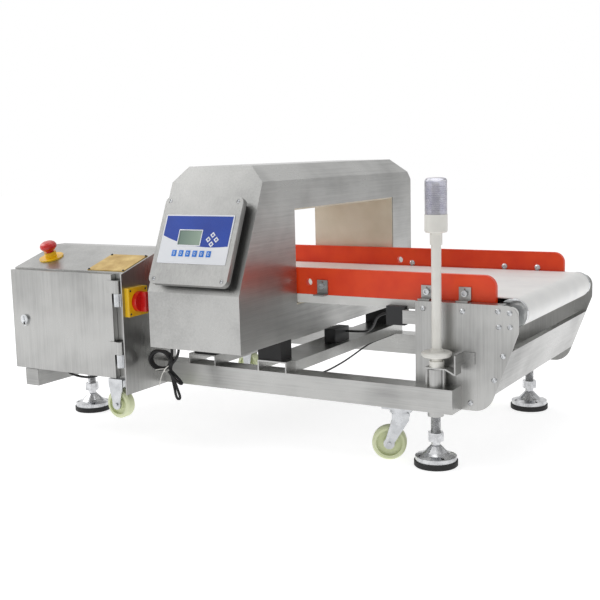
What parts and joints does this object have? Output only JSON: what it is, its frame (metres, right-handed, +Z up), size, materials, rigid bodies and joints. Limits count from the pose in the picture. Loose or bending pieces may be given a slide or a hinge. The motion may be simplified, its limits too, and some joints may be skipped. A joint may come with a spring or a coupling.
{
  "type": "conveyor metal detector",
  "caption": "Belt conveyor running through an arch-shaped metal detector head, with a control keypad, a side cabinet, a signal tower, castors and levelling feet.",
  "frame": {"origin": "on the floor under the middle of the machine's footprint", "axes": "+X along the belt to the discharge end, +Y away from the operator's keypad, +Z up"},
  "size_m": [1.278, 0.863, 0.616],
  "materials": {
    "brushed_stainless": "brushed",
    "bead_blasted_stainless": "fine satin",
    "zinc_steel": "bright plated",
    "foot_rubber": "matte",
    "belt_white": "smooth PU belt",
    "slide_white": "UHMW polyethylene",
    "guide_orange": "satin gloss",
    "liner_beige": "moulded",
    "isolation_black": "matte",
    "enclosure_grey": "brushed",
    "keypad_film": "polyester film",
    "display_glass": "clear window",
    "stop_yellow": "gloss",
    "stop_red": "gloss",
    "plate_brass": "satin, bare",
    "wheel_cream": "nylon",
    "tower_cream": "ABS",
    "lens_clear": "clear polycarbonate",
    "sensor_black": "ABS"
  },
  "bodies": {
    "machine": {"front_beam": "brushed_stainless", "rear_beam": "brushed_stainless", "cross_tubes": "brushed_stainless", "foot_sleeves": "brushed_stainless", "side_plates_right": "brushed_stainless", "side_plates_left": "brushed_stainless", "aprons": "brushed_stainless", "slider_bed": "bead_blasted_stainless", "bed_rails": "slide_white", "bed_cross_members": "brushed_stainless", "bearing_blocks": "slide_white", "return_bars": "slide_white", "conveyor_belt": "belt_white", "guide_front": "guide_orange", "guide_rear": "guide_orange", "guide_brackets": "brushed_stainless", "fasteners": "zinc_steel", "detector_head": "brushed_stainless", "aperture_liner": "liner_beige", "head_channels": "brushed_stainless", "isolation_blocks": "isolation_black", "enclosure_body": "isolation_black", "enclosure_lid": "enclosure_grey", "keypad_membrane": "keypad_film", "lcd_window": "display_glass", "cabinet_body": "brushed_stainless", "hinge_pins": "zinc_steel", "estop_base": "stop_yellow", "brass_plate": "plate_brass", "isolator_plate": "stop_yellow", "caster_plates": "zinc_steel", "rigid_forks": "zinc_steel", "tower_bracket": "brushed_stainless", "tower_base": "tower_cream", "tower_pole": "tower_cream", "tower_lens": "lens_clear", "photo_sensor": "sensor_black", "sensor_bracket": "brushed_stainless"},
    "idler_drum": {"idler_drum": "zinc_steel"},
    "drive_drum": {"drive_drum": "zinc_steel"},
    "cabinet_door": {"cabinet_door": "brushed_stainless"},
    "cam_lock": {"cam_lock": "zinc_steel"},
    "estop_button": {"estop_button": "stop_red"},
    "isolator_knob": {"isolator_knob": "stop_red"},
    "caster_fork_front": {"caster_fork_front": "zinc_steel"},
    "caster_fork_rear": {"caster_fork_rear": "zinc_steel"},
    "wheel_front_right": {"wheel_front_right": "wheel_cream"},
    "wheel_rear_right": {"wheel_rear_right": "wheel_cream"},
    "wheel_front_left": {"wheel_front_left": "wheel_cream"},
    "wheel_rear_left": {"wheel_rear_left": "wheel_cream"},
    "foot_front_right": {"foot_spindle_front_right": "zinc_steel", "foot_pad_front_right": "foot_rubber"},
    "foot_rear_right": {"foot_spindle_rear_right": "zinc_steel", "foot_pad_rear_right": "foot_rubber"},
    "foot_front_left": {"foot_spindle_front_left": "zinc_steel", "foot_pad_front_left": "foot_rubber"},
    "foot_rear_left": {"foot_spindle_rear_left": "zinc_steel", "foot_pad_rear_left": "foot_rubber"}
  },
  "joints": [
    {"name": "drive_turn", "type": "hinge", "parent": "machine", "child": "drive_drum", "pos_m": [-0.609, 0.06745, 0.313], "axis": [0, 1, 0], "continuous": true},
    {"name": "idler_turn", "type": "hinge", "parent": "machine", "child": "idler_drum", "pos_m": [0.609, 0.06745, 0.313], "axis": [0, 1, 0], "continuous": true},
    {"name": "door_swing", "type": "hinge", "parent": "machine", "child": "cabinet_door", "pos_m": [-0.218, -0.39455, 0.27], "axis": [0, 0, 1], "range_deg": [0, 110]},
    {"name": "lock_turn", "type": "hinge", "parent": "cabinet_door", "child": "cam_lock", "pos_m": [-0.502, -0.39455, 0.268], "axis": [0, 1, 0], "range_deg": [0, 90]},
    {"name": "stop_press", "type": "slide", "parent": "machine", "child": "estop_button", "axis": [0, 0.2892, -0.9573], "range_m": [0, 0.005], "stiffness_N_per_m": 1500, "springref_m": -0.002},
    {"name": "isolator_turn", "type": "hinge", "parent": "machine", "child": "isolator_knob", "pos_m": [-0.19, -0.35455, 0.321], "axis": [1, 0, 0], "range_deg": [0, 90]},
    {"name": "swivel_front", "type": "hinge", "parent": "machine", "child": "caster_fork_front", "pos_m": [0.392, -0.23255, 0.1], "axis": [0, 0, 1], "range_deg": [-140, 95]},
    {"name": "swivel_rear", "type": "hinge", "parent": "machine", "child": "caster_fork_rear", "pos_m": [0.392, 0.29245, 0.1], "axis": [0, 0, 1], "continuous": true},
    {"name": "roll_front_right", "type": "hinge", "parent": "caster_fork_front", "child": "wheel_front_right", "pos_m": [0.36975, -0.24154, 0.039], "axis": [-0.3746, 0.9272, 0], "continuous": true},
    {"name": "roll_rear_right", "type": "hinge", "parent": "caster_fork_rear", "child": "wheel_rear_right", "pos_m": [0.36975, 0.28346, 0.039], "axis": [-0.3746, 0.9272, 0], "continuous": true},
    {"name": "roll_front_left", "type": "hinge", "parent": "machine", "child": "wheel_front_left", "pos_m": [-0.237, -0.37755, 0.088], "axis": [0, 1, 0], "continuous": true},
    {"name": "roll_rear_left", "type": "hinge", "parent": "machine", "child": "wheel_rear_left", "pos_m": [-0.33, 0.29245, 0.039], "axis": [0, 1, 0], "continuous": true},
    {"name": "level_front_right", "type": "slide", "parent": "machine", "child": "foot_front_right", "axis": [0, 0, 1], "range_m": [-0.025, 0.025]},
    {"name": "level_rear_right", "type": "slide", "parent": "machine", "child": "foot_rear_right", "axis": [0, 0, 1], "range_m": [-0.025, 0.025]},
    {"name": "level_front_left", "type": "slide", "parent": "machine", "child": "foot_front_left", "axis": [0, 0, 1], "range_m": [-0.025, 0.025]},
    {"name": "level_rear_left", "type": "slide", "parent": "machine", "child": "foot_rear_left", "axis": [0, 0, 1], "range_m": [-0.025, 0.025]}
  ],
  "couplings": [
    {"joint": "idler_turn", "follows": "drive_turn", "ratio": 1}
  ]
}
